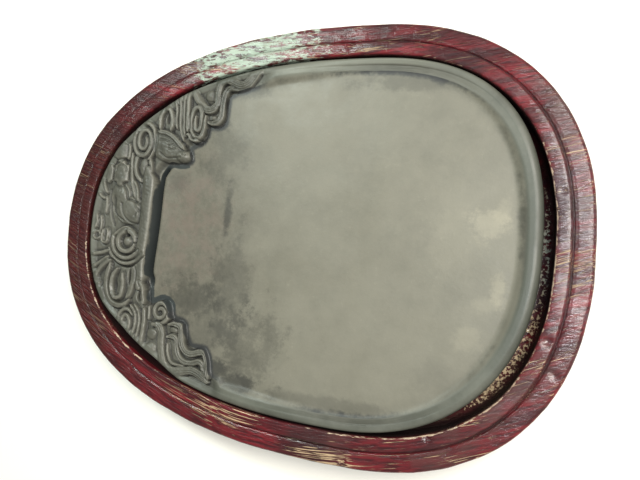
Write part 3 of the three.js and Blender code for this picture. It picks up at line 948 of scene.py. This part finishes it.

# %% [markdown]
# ## Lacquer on old wood
# The tray is deep crimson lacquer over open-grained wood. The lacquer is a clear coat over a
# colour that changes with the grain. The pores are filled with a pale dust, which shows most along
# the near side as short cream dashes that run along the plank. The arris beside the stone is
# rubbed through to the wood in places. Pale flecks on the cove at the broad end are painted glints
# mixed with dust, pale green flecks on the far side are a painted window reflection, a pale haze
# on the broad end is a painted sheen, and the hollow's wall is painted nearly black as shade. The
# groove at the foot of the lip is painted nearly black. The attribute "worn" comes from the
# profile, so the wear follows the edges exactly.

# %% Lacquer
def lacquer(name, pore_amount, sag, coat):
    """A lacquered wood. pore_amount, sag and coat say how much of each the piece has."""
    made, tree, shader, coordinates = new_material(name)
    height_here = node(tree, "ShaderNodeSeparateXYZ", {0: coordinates}).outputs[2]
    on_top = spread(tree, height_here, (SHOULDER_Z - 2.5) * MM, (SHOULDER_Z - 1.0) * MM)
    near_side = patch(tree, coordinates, 38, -76, 104, 32, 1.0, 40.0)
    scuffed_lip = patch(tree, coordinates, 78, -62, 34, 20, 1.2, 60.0)
    more_pores = times(tree, larger(tree, near_side, scuffed_lip), 0.48)
    pores_here = times(tree, maths(tree, "ADD", more_pores, 1.0), pore_amount)
    grain = use_group(tree, PLANK_GRAIN, {
        "Vector": coordinates, "Wander": 0.007, "Sag": sag, "Pore Amount": pores_here,
    })
    clouds = noise(tree, coordinates, 34.0, 3.0, 0.6)
    warm = mix_colours(tree, grain["Tone"], (0.040, 0.0028, 0.0050, 1), (0.195, 0.010, 0.017, 1))
    colour = mix_colours(tree, spread(tree, clouds, 0.4, 0.75), warm, (0.03, 0.005, 0.007, 1))
    brown_end = patch(tree, coordinates, -112, 0, 60, 130, 1.0, 30.0)
    browner = times(tree, brown_end, 0.8)
    colour = mix_colours(tree, browner, colour, (0.040, 0.009, 0.007, 1))
    furrows = times(tree, spread(tree, grain["Ridges"], 0.36, 0.56, 1.0, 0.0), 0.75)
    colour = mix_colours(tree, furrows, colour, (0.018, 0.002, 0.004, 1))

    corner = patch(tree, coordinates, 76, -66, 84, 45, 1.2, 40.0)
    far_side = patch(tree, coordinates, -30, 80, 100, 30, 1.2, 40.0)
    right_end = patch(tree, coordinates, 108, 10, 22, 80, 1.2, 40.0)
    most_dusty = larger(tree, corner, near_side)
    less_dusty = times(tree, larger(tree, far_side, right_end), 0.6)
    dusty = maths(tree, "ADD", larger(tree, most_dusty, less_dusty), 0.3, clamp=True)
    greyed = larger(tree, corner, patch(tree, coordinates, 88, 52, 34, 26, 1.6, 60.0))
    greyed = times(tree, greyed, spread(tree, clouds, 0.45, 0.65, 0.0, 0.38))
    colour = mix_colours(tree, greyed, colour, (0.125, 0.062, 0.055, 1))
    less_on_side = maths(tree, "ADD", times(tree, on_top, 0.55), 0.3)
    dust = times(tree, times(tree, grain["Pores"], dusty), less_on_side)
    colour = mix_colours(tree, dust, colour, (0.50, 0.36, 0.22, 1))

    # painted sheen: a pale streaky haze on the broad end's shoulder stands in for the lacquer's highlight
    painted_sheen = patch(tree, coordinates, 106, 4, 16, 60, 1.4, 60.0)
    sheen_streaks = streaks(tree, coordinates, (60, 620, 620), 4.0, 0.75)
    painted_sheen = times(tree, painted_sheen, spread(tree, sheen_streaks, 0.42, 0.66, 0.05, 0.6))
    colour = mix_colours(tree, painted_sheen, colour, (0.125, 0.095, 0.110, 1))
    worn = attribute(tree, "worn")
    ragged = streaks(tree, coordinates, (160, 500, 500), 4.0, 0.7)
    carved_side = times(tree, patch(tree, coordinates, -80, -36, 64, 60), 0.8)
    handled = larger(tree, larger(tree, corner, right_end), carved_side)
    rubbed_parts = times(tree, handled, 0.22)
    wear = times(tree, maths(tree, "ADD", rubbed_parts, 0.2), worn)
    bare = spread(tree, maths(tree, "ADD", ragged, wear), 0.78, 0.88)
    bare = times(tree, bare, spread(tree, worn, 0.1, 0.5))
    colour = mix_colours(tree, bare, colour, (0.42, 0.32, 0.23, 1))

    # painted glints mixed with dust: pale flecks on the cove, cream at the near corner and pale green at the
    # broad end
    cove_glints_and_dust = patch(tree, coordinates, 90, -42, 34, 36, 1.0, 60.0)
    end_of_cove = times(tree, patch(tree, coordinates, 104, 4, 14, 34, 1.0, 60.0), 0.75)
    cove_glints_and_dust = larger(tree, cove_glints_and_dust, end_of_cove)
    cove_glints_and_dust = times(tree, attribute(tree, "cove"), cove_glints_and_dust)
    glint_and_dust_flecks = streaks(tree, coordinates, (800, 800, 800), 3.0, 0.6)
    glint_and_dust_flecks = spread(tree, maths(tree, "ADD", glint_and_dust_flecks, times(tree, cove_glints_and_dust, 0.1)), 0.56, 0.66)
    painted_glints_and_dust = times(tree, glint_and_dust_flecks, spread(tree, cove_glints_and_dust, 0.0, 0.4))
    # painted shade: the hollow's wall is painted nearly black, except under the cove's flecks
    wall = times(tree, attribute(tree, "hollow wall"), 0.93)
    wall = times(tree, wall, maths(tree, "SUBTRACT", 1.0, painted_glints_and_dust))
    colour = mix_colours(tree, wall, colour, (0.010, 0.004, 0.004, 1))
    glint_and_dust_colour = mix_colours(tree, end_of_cove, (0.56, 0.43, 0.27, 1), (0.34, 0.42, 0.38, 1))
    colour = mix_colours(tree, painted_glints_and_dust, colour, glint_and_dust_colour)

    # painted reflection: pale green flecks on the far side's top stand in for a window reflected in the
    # lacquer, and they dull the coat there
    window_reflection_patch = patch(tree, coordinates, -26, 76, 46, 22, 1.8, 70.0)
    painted_window_reflection = streaks(tree, coordinates, (150, 520, 520), 6.0, 0.8)
    painted_window_reflection = spread(tree, maths(tree, "ADD", painted_window_reflection, times(tree, window_reflection_patch, 0.18)), 0.62, 0.70)
    reflection_on_top = times(tree, on_top, spread(tree, window_reflection_patch, 0.0, 0.4))
    painted_window_reflection = times(tree, painted_window_reflection, reflection_on_top)
    colour = mix_colours(tree, times(tree, painted_window_reflection, 0.85), colour, (0.40, 0.50, 0.41, 1))
    # the groove at the foot of the lip is painted nearly black
    quirk = attribute(tree, "quirk")
    colour = mix_colours(tree, times(tree, quirk, 0.8), colour, (0.008, 0.002, 0.003, 1))

    feed(tree, shader.inputs["Base Color"], colour)
    dry = larger(tree, larger(tree, dust, painted_window_reflection), larger(tree, bare, worn))
    edges = maths(tree, "MULTIPLY", worn, 3.0, clamp=True)
    dry = larger(tree, dry, edges)
    dry = larger(tree, dry, larger(tree, quirk, attribute(tree, "hollow wall")))
    dull = maths(tree, "ADD", times(tree, dry, 0.35), 0.3)
    feed(tree, shader.inputs["Roughness"], dull)
    dry = larger(tree, dry, times(tree, brown_end, 0.7))
    lacquered = maths(tree, "SUBTRACT", coat, times(tree, dry, 0.75), clamp=True)
    feed(tree, shader.inputs["Coat Weight"], lacquered)
    shader.inputs["Coat Roughness"].default_value = 0.085
    shader.inputs["Specular IOR Level"].default_value = 0.25
    height = maths(tree, "SUBTRACT", grain["Ridges"], times(tree, grain["Pores"], 0.5))
    bump = node(tree, "ShaderNodeBump", {"Strength": 0.9, "Distance": 0.0006, "Height": height})
    feed(tree, shader.inputs["Normal"], bump.outputs[0])
    brush_marks = streaks(tree, coordinates, (150, 900, 900), 4.0, 0.65)
    coat_bump = node(tree, "ShaderNodeBump", {"Strength": 0.6, "Distance": 0.00045, "Height": brush_marks})
    feed(tree, shader.inputs["Coat Normal"], coat_bump.outputs[0])
    return made


TRAY_LACQUER = lacquer("crimson lacquer", 0.75, 2.1, 1.0)
print("made", TRAY_LACQUER.name)

# %% [markdown]
# ## The tray
# From the outside in, the profile has a bellied side, a flat shoulder, a narrow groove where the
# raised lip starts, the rounded lip, and a cove that turns the hollow's wall into its floor. Arcs
# give the rounded parts, so that they catch a thin highlight as a planed edge does.

# %% Tray profile
LIP_INSET, LIP_WIDTH = 7.9, 5.5
WALL_INSET = LIP_INSET + LIP_WIDTH
COVE_RADIUS = 5.0
FLOOR_INSET, UNDERSIDE_INSET = 60.0, 26.0
QUIRK_DEPTH = 0.7


def corner_arc(inset, z, radius, first, last, steps):
    """Points of (inset, z) round a centre. 0 degrees points into the hollow and 90 up."""
    turns = np.radians(np.linspace(first, last, steps))
    return [(inset + radius * math.cos(t), z + radius * math.sin(t)) for t in turns]


def tray_profile():
    lip_round = 0.9
    foot = LIP_INSET - 0.5
    points = [(UNDERSIDE_INSET, UNDERSIDE_Z), (5.5, UNDERSIDE_Z), (3.9, UNDERSIDE_Z + 0.3)]
    points += [(2.6, UNDERSIDE_Z + 0.9), (1.7, UNDERSIDE_Z + 2.1), (1.0, UNDERSIDE_Z + 3.6)]
    points += [(0.35, UNDERSIDE_Z + 6.2), (0, UNDERSIDE_Z + 9.5), (0, SHOULDER_Z - 5)]
    points += corner_arc(1.5, SHOULDER_Z - 1.5, 1.5, 180, 90, 6)
    points += [(inset, SHOULDER_Z) for inset in (2.8, 4.2, 5.6, foot - 0.6)]
    points += [(foot - 0.25, SHOULDER_Z - 0.3), (foot, SHOULDER_Z - QUIRK_DEPTH)]
    points += [(foot + 0.35, SHOULDER_Z - 0.35), (LIP_INSET + 0.05, SHOULDER_Z + 0.5)]
    points += corner_arc(LIP_INSET + 0.1 + lip_round, LIP_Z - lip_round, lip_round, 180, 90, 5)
    points += [(inset, LIP_Z) for inset in (10.2, 11.4)]
    points += corner_arc(WALL_INSET - lip_round, LIP_Z - lip_round, lip_round, 90, 0, 6)
    points += [(WALL_INSET, z) for z in (LIP_Z - 3, LIP_Z - 6, LIP_Z - 9)]
    middle = (WALL_INSET + COVE_RADIUS, FLOOR_Z + COVE_RADIUS)
    points += corner_arc(*middle, COVE_RADIUS, 180, 270, 10)
    points += [(inset, FLOOR_Z) for inset in (24, 40, FLOOR_INSET)]
    return np.array(points)


profile = tray_profile()

def close_to(inset, z, reach):
    """1 at a place of the profile, falling towards 0 beyond reach."""
    return np.exp(-(np.hypot(*(profile - [inset, z]).T) / reach) ** 2)


inner_arris = close_to(WALL_INSET - 0.4, LIP_Z - 0.3, 0.5)
outer_arris = close_to(LIP_INSET + 0.4, LIP_Z - 0.3, 0.5)
side_arris = close_to(0.5, SHOULDER_Z - 0.5, 1.1)
worn = np.maximum(np.maximum(inner_arris, 0.3 * outer_arris), 0.4 * side_arris)
quirk = close_to(LIP_INSET - 0.5, SHOULDER_Z - QUIRK_DEPTH, 0.45)
cove = smooth(1.2, 3.0, profile[:, 0] - WALL_INSET) * np.exp(-((profile[:, 1] - FLOOR_Z) / 3.0) ** 2)
hollow_wall = (profile[:, 0] > WALL_INSET - 0.1) * smooth(FLOOR_Z - 1, FLOOR_Z + 3, profile[:, 1])
hollow_wall *= 1 - smooth(LIP_Z - 1.4, LIP_Z - 0.9, profile[:, 1])
print("tray profile:", len(profile), "points")

# %% [markdown]
# The sweep leaves two holes, under the stone and under the tray. Each is closed with one face
# that is then poked into a fan. After that a few dents are pressed into the rim, where a tray
# that is handled gets them.

# %% Build the tray
OUTLINE_POINTS = 800
WOBBLE = 0.9
DENTS = [(101.2, -30.5, 1.5, 1.3), (62, -70, 1.2, 0.8), (103, 22, 1.1, 0.7),
         (-72, -62, 1.6, 0.8), (20, 79, 1.2, 0.7), (30, -86, 1.5, 0.9), (104, -42, 1.2, 0.8)]


def oval_outline(oval, inset, count):
    turns = np.linspace(0, 2 * math.pi, count, endpoint=False)
    ring = inset_ring(oval, (oval.x, oval.y), turns, inset)
    return np.column_stack([ring, np.zeros(count)])


def close_holes(piece):
    """Fills each open edge loop with a fan of triangles, and turns all faces outwards."""
    work = bmesh.new()
    work.from_mesh(piece.data)
    filled = bmesh.ops.holes_fill(work, edges=[e for e in work.edges if e.is_boundary], sides=0)
    bmesh.ops.poke(work, faces=filled["faces"])
    bmesh.ops.recalc_face_normals(work, faces=work.faces)
    work.to_mesh(piece.data)
    work.free()


def press_dents(piece):
    points = points_of(piece)
    for x, y, reach, depth in DENTS:
        near_by = np.exp(-(np.hypot(points[:, 0] - x, points[:, 1] - y) / reach) ** 2)
        high_up = smooth(SHOULDER_Z - 3, SHOULDER_Z, points[:, 2])
        points[:, 2] -= depth * near_by * high_up
    piece.data.vertices.foreach_set("co", (points * MM).ravel())
    piece.data.update()


section = np.column_stack([-profile[:, 0], -profile[:, 1], np.zeros(len(profile))])
tray = sweep(
    "tray_body", oval_outline(TRAY, 0, OUTLINE_POINTS), True, section, False, WOBBLE,
    TRAY_LACQUER, {"worn": worn, "quirk": quirk, "cove": cove, "hollow wall": hollow_wall},
)
close_holes(tray)
press_dents(tray)
tray.data.polygons.foreach_set("use_smooth", [True] * len(tray.data.polygons))
tray_points = points_of(tray)
print("tray:", len(tray.data.polygons), "faces, z", tray_points[:, 2].min(), tray_points[:, 2].max())

# %% [markdown]
# ## The feet
# The tray stands on four low strips that follow its outline under the two long sides. They are
# the same wood with a thinner, duller finish, because nobody sees them. Each is the same sweep
# with a closed profile and filled ends, and its corners are then rounded with a bevel.

# %% Build the feet
FOOT_INSET, FOOT_LENGTH, FOOT_WIDTH = 6.0, 38.0, 9.0
FOOT_PATH_POINTS = 25
FOOT_CORNER, FOOT_ARRIS = 2.3, 0.5
UPRIGHT_RISE = 1.0  # only the upright edges of a foot rise more than this
FEET = {  # the angle at which each foot lies
    "foot_broad_back": 42, "foot_carved_back": 148, "foot_carved_front": 212, "foot_broad_front": 318,
}
FOOT_LACQUER = lacquer("thin lacquer on the feet", 0.35, 0.0, 0.35)


def foot_path(middle_angle):
    """A stretch of the oval about a ray at an angle in degrees, FOOT_LENGTH long at the outline."""
    centre = (TRAY.x, TRAY.y)
    middle = math.radians(middle_angle)
    half_span = FOOT_LENGTH / 2 / float(ray_to_oval(TRAY, centre, np.array([middle]))[0])
    turns = middle + half_span * np.linspace(-1, 1, FOOT_PATH_POINTS)
    ring = inset_ring(TRAY, centre, turns, FOOT_INSET + FOOT_WIDTH / 2)
    return np.column_stack([ring, np.zeros(FOOT_PATH_POINTS)])


def build_foot(node_name, middle_angle):
    low, high = (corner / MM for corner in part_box(node_name))
    half = FOOT_WIDTH / 2
    corners = [(-half, low.z), (half, low.z), (half, high.z), (-half, high.z)]
    section = [(across, -z, 0) for across, z in corners]
    path = foot_path(middle_angle)
    piece = sweep(node_name + "_strip", path, False, section, True, 0, FOOT_LACQUER)
    work = bmesh.new()
    work.from_mesh(piece.data)
    bmesh.ops.remove_doubles(work, verts=work.verts, dist=0.01 * MM)
    rise = {e: abs(e.verts[0].co.z - e.verts[1].co.z) / MM for e in work.edges}
    ends = [e for e in work.edges if rise[e] > UPRIGHT_RISE and e.calc_face_angle(0) > 1]
    bmesh.ops.bevel(work, geom=ends, offset=FOOT_CORNER * MM, segments=5, affect="EDGES")
    bmesh.ops.recalc_face_normals(work, faces=work.faces)
    work.to_mesh(piece.data)
    work.free()
    soften = piece.modifiers.new("Arris", "BEVEL")
    soften.width, soften.segments, soften.limit_method = FOOT_ARRIS * MM, 2, "ANGLE"
    return piece


feet = {name: build_foot(name, angle) for name, angle in FEET.items()}
for name, piece in feet.items():
    found = points_of(piece)
    frame_box = [tuple(round(v / MM, 1) for v in corner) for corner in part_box(name)]
    print(name, "box", found.min(0).round(1), found.max(0).round(1), "frame", frame_box)

# %% [markdown]
# ## Stone
# The stone is a fine grey-green slate. Grinding has left the field smooth and faintly clouded,
# with old ink that never quite washed out. The plain rim keeps the greener colour of the
# untouched stone, and the carving is darker. The attributes made with the mesh say where each of
# these belongs, and patches add the stains that lie where they like.

# %% Stone colours
PALE_MARKS = [  # x, y, size along x and y, strength
    (79, 9, 9, 8, 0.3), (83, 14, 5, 6, 0.2), (83, -14, 4, 8, 0.3), (79, -20, 6, 5, 0.16),
    (74, -33, 8, 6, 0.16), (66, 2, 16, 16, 0.07), (52, 20, 30, 22, 0.05),
]
INK_STAINS = [  # x, y, size along x and y, strength, how far noise breaks up the edge
    (-30, 8, 3, 17, 0.75, 2.0), (-25, -26, 13, 30, 0.34, 3.6), (-18, -46, 22, 20, 0.36, 3.8),
    (-34, 33, 14, 15, 0.3, 2.8), (-28, -57, 7, 5, 0.85, 1.6), (-18, -62, 13, 4.5, 0.85, 1.8),
    (-24, 61, 12, 5, 0.5, 2.4),
    (-44, -30, 16, 12, 0.42, 3.2), (48, 63, 38, 5, 0.4, 2.4), (93, 8, 5, 30, 0.6, 2.2),
    (-57, 20, 8, 7, 0.35, 2.4), (20, -64, 40, 4, 0.35, 2.2), (-52, -20, 12, 7, 0.18, 2.8),
    (-34, -42, 26, 26, 0.3, 3.0), (-38, 46, 6, 5, 0.5, 2.0), (70, -50, 24, 10, 0.12, 2.4),
]


def clouded_field(tree, coordinates):
    """The ground field: a warm grey, with soft clouds, pale water marks and rubbed-in ink."""
    wide = spread(tree, noise(tree, coordinates, 26.0, 6.0, 0.7), 0.35, 0.68)
    fine = spread(tree, noise(tree, coordinates, 130.0, 6.0, 0.7), 0.3, 0.7)
    colour = mix_colours(tree, wide, (0.142, 0.138, 0.108, 1), (0.172, 0.167, 0.131, 1))
    colour = mix_colours(tree, times(tree, fine, 0.35), colour, (0.195, 0.186, 0.146, 1))
    speckle = spread(tree, noise(tree, coordinates, 420.0, 3.0, 0.7), 0.62, 0.78)
    colour = mix_colours(tree, times(tree, speckle, 0.16), colour, (0.29, 0.28, 0.22, 1))

    pale = (0.36, 0.335, 0.25, 1)
    for x, y, size_x, size_y, strength in PALE_MARKS:
        mask = patch(tree, coordinates, x, y, size_x, size_y, 2.6, 120.0)
        colour = mix_colours(tree, times(tree, mask, strength), colour, pale)

    aged = patch(tree, coordinates, -50, -10, 48, 84, 1.0, 60.0)
    colour = mix_colours(tree, times(tree, aged, 0.62), colour, (0.082, 0.078, 0.060, 1))
    gritty = spread(tree, noise(tree, coordinates, 330.0, 4.0, 0.8), 0.34, 0.66)
    gritty = times(tree, times(tree, gritty, aged), 0.42)
    colour = mix_colours(tree, gritty, colour, (0.185, 0.172, 0.138, 1))
    near_well = patch(tree, coordinates, -50, 4, 24, 42, 1.8, 90.0)
    mottle = spread(tree, noise(tree, coordinates, 120.0, 6.0, 0.75), 0.4, 0.62)
    blush = times(tree, times(tree, near_well, mottle), 0.6)
    colour = mix_colours(tree, blush, colour, (0.160, 0.128, 0.105, 1))

    for x, y, size_x, size_y, strength, break_up in INK_STAINS:
        mask = patch(tree, coordinates, x, y, size_x, size_y, break_up, 110.0)
        colour = mix_colours(tree, times(tree, mask, strength), colour, (0.040, 0.040, 0.034, 1))
    return colour


def stone_material():
    made, tree, shader, coordinates = new_material("grey-green ink stone")
    field_colour = clouded_field(tree, coordinates)

    mottle = spread(tree, noise(tree, coordinates, 60.0, 5.0, 0.65), 0.3, 0.7)
    plain = mix_colours(tree, mottle, (0.082, 0.090, 0.072, 1), (0.128, 0.136, 0.112, 1))
    cut = mix_colours(tree, mottle, (0.052, 0.053, 0.042, 1), (0.092, 0.091, 0.073, 1))
    # painted reflection: a paler stretch of the far rim stands in for the window's soft reflection
    far_rim_sheen = times(tree, patch(tree, coordinates, 20, 76, 66, 16, 1.2, 60.0), 0.95)
    plain = mix_colours(tree, far_rim_sheen, plain, (0.225, 0.235, 0.190, 1))
    # painted shade: the plain rim at the broad end is painted darker
    right_rim_shade = times(tree, patch(tree, coordinates, 98, -10, 20, 80, 1.0, 40.0), 0.9)
    plain = mix_colours(tree, right_rim_shade, plain, (0.058, 0.066, 0.052, 1))
    colour = mix_colours(tree, attribute(tree, "carving"), plain, cut)
    high = times(tree, attribute(tree, "high"), 0.7)
    colour = mix_colours(tree, high, colour, (0.165, 0.160, 0.132, 1))
    # darker in the carving's low places, in blotches
    low_blotches = spread(tree, noise(tree, coordinates, 240.0, 5.0, 0.7), 0.3, 0.65, 0.5, 1.15)
    patchy_low = times(tree, attribute(tree, "low"), low_blotches)
    low = maths(tree, "MULTIPLY", patchy_low, 0.95, clamp=True)
    colour = mix_colours(tree, low, colour, (0.014, 0.014, 0.013, 1))
    colour = mix_colours(tree, attribute(tree, "field"), colour, field_colour)

    # darker in blotches along the foot of the plain rim
    rim_foot_blotches = spread(tree, noise(tree, coordinates, 60.0, 6.0, 0.75), 0.42, 0.66, 0.22, 0.8)
    rim_foot_darkening = times(tree, attribute(tree, "rim foot"), rim_foot_blotches)
    colour = mix_colours(tree, rim_foot_darkening, colour, (0.050, 0.050, 0.038, 1))
    ragged = maths(tree, "SUBTRACT", noise(tree, coordinates, 120.0, 5.0, 0.7), 0.5)
    # darker along the field's side of the carving's wall, with a ragged edge
    reach = maths(tree, "ADD", attribute(tree, "wall foot"), times(tree, ragged, 1.6))
    wall_foot_darkening = times(tree, spread(tree, reach, 0.25, 0.95), 0.9)
    wall_foot_darkening = times(tree, wall_foot_darkening, spread(tree, attribute(tree, "wall foot"), 0.0, 0.3))
    colour = mix_colours(tree, wall_foot_darkening, colour, (0.022, 0.024, 0.026, 1))
    pool = maths(tree, "ADD", attribute(tree, "well"), times(tree, ragged, 0.9))
    pool = times(tree, spread(tree, pool, 0.2, 0.6), 0.94)
    pool = times(tree, pool, spread(tree, attribute(tree, "well"), 0.0, 0.2))
    colour = mix_colours(tree, pool, colour, (0.028, 0.034, 0.034, 1))
    feed(tree, shader.inputs["Base Color"], colour)

    grain = noise(tree, coordinates, 900.0, 4.0, 0.6)
    polish = spread(tree, noise(tree, coordinates, 40.0, 4.0, 0.6), 0.3, 0.7, 0.34, 0.5)
    rough = maths(tree, "ADD", polish, times(tree, low, 0.25))
    feed(tree, shader.inputs["Roughness"], maths(tree, "ADD", rough, times(tree, grain, 0.06)))
    pits = maths(tree, "ADD", grain, times(tree, noise(tree, coordinates, 160.0, 3.0), 1.5))
    bump = node(tree, "ShaderNodeBump", {"Strength": 0.3, "Distance": 0.00012, "Height": pits})
    feed(tree, shader.inputs["Normal"], bump.outputs[0])
    return made


inkstone.data.materials.append(stone_material())
print("stone finish on", inkstone.name)

# %% [markdown]
# ## What moves with what
# The frame has two bodies: the tray, with its feet, and the stone that lifts out. Each finished
# piece rides on its body and stands for its CAD node.

# %% Tell the frame
PIECES = {
    "tray": (tray, "tray", "lacquered_wood"),
    "inkstone": (inkstone, "inkstone", "grey_green_stone"),
}
for name, piece in feet.items():
    PIECES[name] = (piece, "tray", "foot_wood")

for cad_node, (piece, body, finish) in PIECES.items():
    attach(piece, body)
    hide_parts(cad_node)
    print(piece.name, "rides", body)

# %% [markdown]
# ## Paper, light and camera
# The object lies on white paper, seen from almost straight above its broad end. A soft light
# beyond the broad end gives the pale shadow at the other end, a smaller one like a window makes
# the long highlight on the lacquer, and a small lamp overhead adds short glints. The room is
# brighter on the main light's side, which keeps the shadows open.

# %% Paper and light
def paper_material():
    made, tree, shader, coordinates = new_material("white paper")
    tooth = noise(tree, coordinates, 30.0, 2.0)
    colour = mix_colours(tree, tooth, (0.87, 0.865, 0.81, 1), (0.89, 0.885, 0.84, 1))
    feed(tree, shader.inputs["Base Color"], colour)
    shader.inputs["Roughness"].default_value = 0.9
    return made


PAPER_HALF = 6000
paper_corners = [(-1, -1), (1, -1), (1, 1), (-1, 1)]
paper = mesh_object("paper", [(PAPER_HALF * x, PAPER_HALF * y, 0) for x, y in paper_corners], [(0, 1, 2, 3)])
paper.data.materials.append(paper_material())


def soft_light(name, place, aim, size, power, colour):
    """A square area light. Places and size are in millimetres, power in watts."""
    data = bpy.data.lights.new(name, "AREA")
    data.size, data.energy, data.color = size * MM, power, colour
    lamp = bpy.data.objects.new(name, data)
    lamp.location = Vector(place) * MM
    lamp.rotation_euler = (Vector(aim) - Vector(place)).to_track_quat("-Z", "Y").to_euler()
    bpy.context.scene.collection.objects.link(lamp)


soft_light("main light", (300, 120, 560), (0, 0, 0), 260, 4.3, (1.0, 0.96, 0.88))
soft_light("window light", (-230, 234, 450), (-10, 60, 20), 100, 1.2, (0.88, 1.0, 0.95))
soft_light("lamp overhead", (122, 22, 470), (40, 0, 20), 34, 0.42, (0.84, 0.92, 1.0))


def room_world():
    """A room that is bright on the main light's side and dim on the other."""
    made = bpy.data.worlds.new("room")
    made.use_nodes = True
    tree = made.node_tree
    direction = node(tree, "ShaderNodeTexCoord").outputs["Generated"]
    towards_light = node(tree, "ShaderNodeSeparateXYZ", {0: direction}).outputs[0]
    background = tree.nodes["Background"]
    feed(tree, background.inputs["Color"], (1.0, 0.975, 0.91, 1))
    feed(tree, background.inputs["Strength"], spread(tree, towards_light, -1, 1, 0.14, 0.75))
    return made


world = room_world()
bpy.context.scene.world = world
bpy.context.scene.view_settings.view_transform = "Standard"

# %% [markdown]
# The camera is built from where it stands, the place that it looks at and the direction that is
# up in the picture. Those three give its axes, which become the columns of its matrix.

# %% Camera
CAMERA_PLACE = Vector((105.1, -14.8, 263.3))
CAMERA_AIM = Vector((13.0, -0.55, 24.3))
CAMERA_ROLL = math.radians(5.44)
LENS = 36.0

back = (CAMERA_PLACE - CAMERA_AIM).normalized()
right = Vector((-math.sin(CAMERA_ROLL), math.cos(CAMERA_ROLL), 0)).cross(back).normalized()
up = back.cross(right)
camera_data = bpy.data.cameras.new("camera")
camera_data.lens = LENS
camera_data.sensor_width = LENS
camera = bpy.data.objects.new("camera", camera_data)
axes = Matrix((right, up, back)).transposed().to_4x4()
camera.matrix_world = Matrix.Translation(CAMERA_PLACE * MM) @ axes
bpy.context.scene.collection.objects.link(camera)
bpy.context.scene.camera = camera
print("camera", [round(v, 1) for v in CAMERA_PLACE])
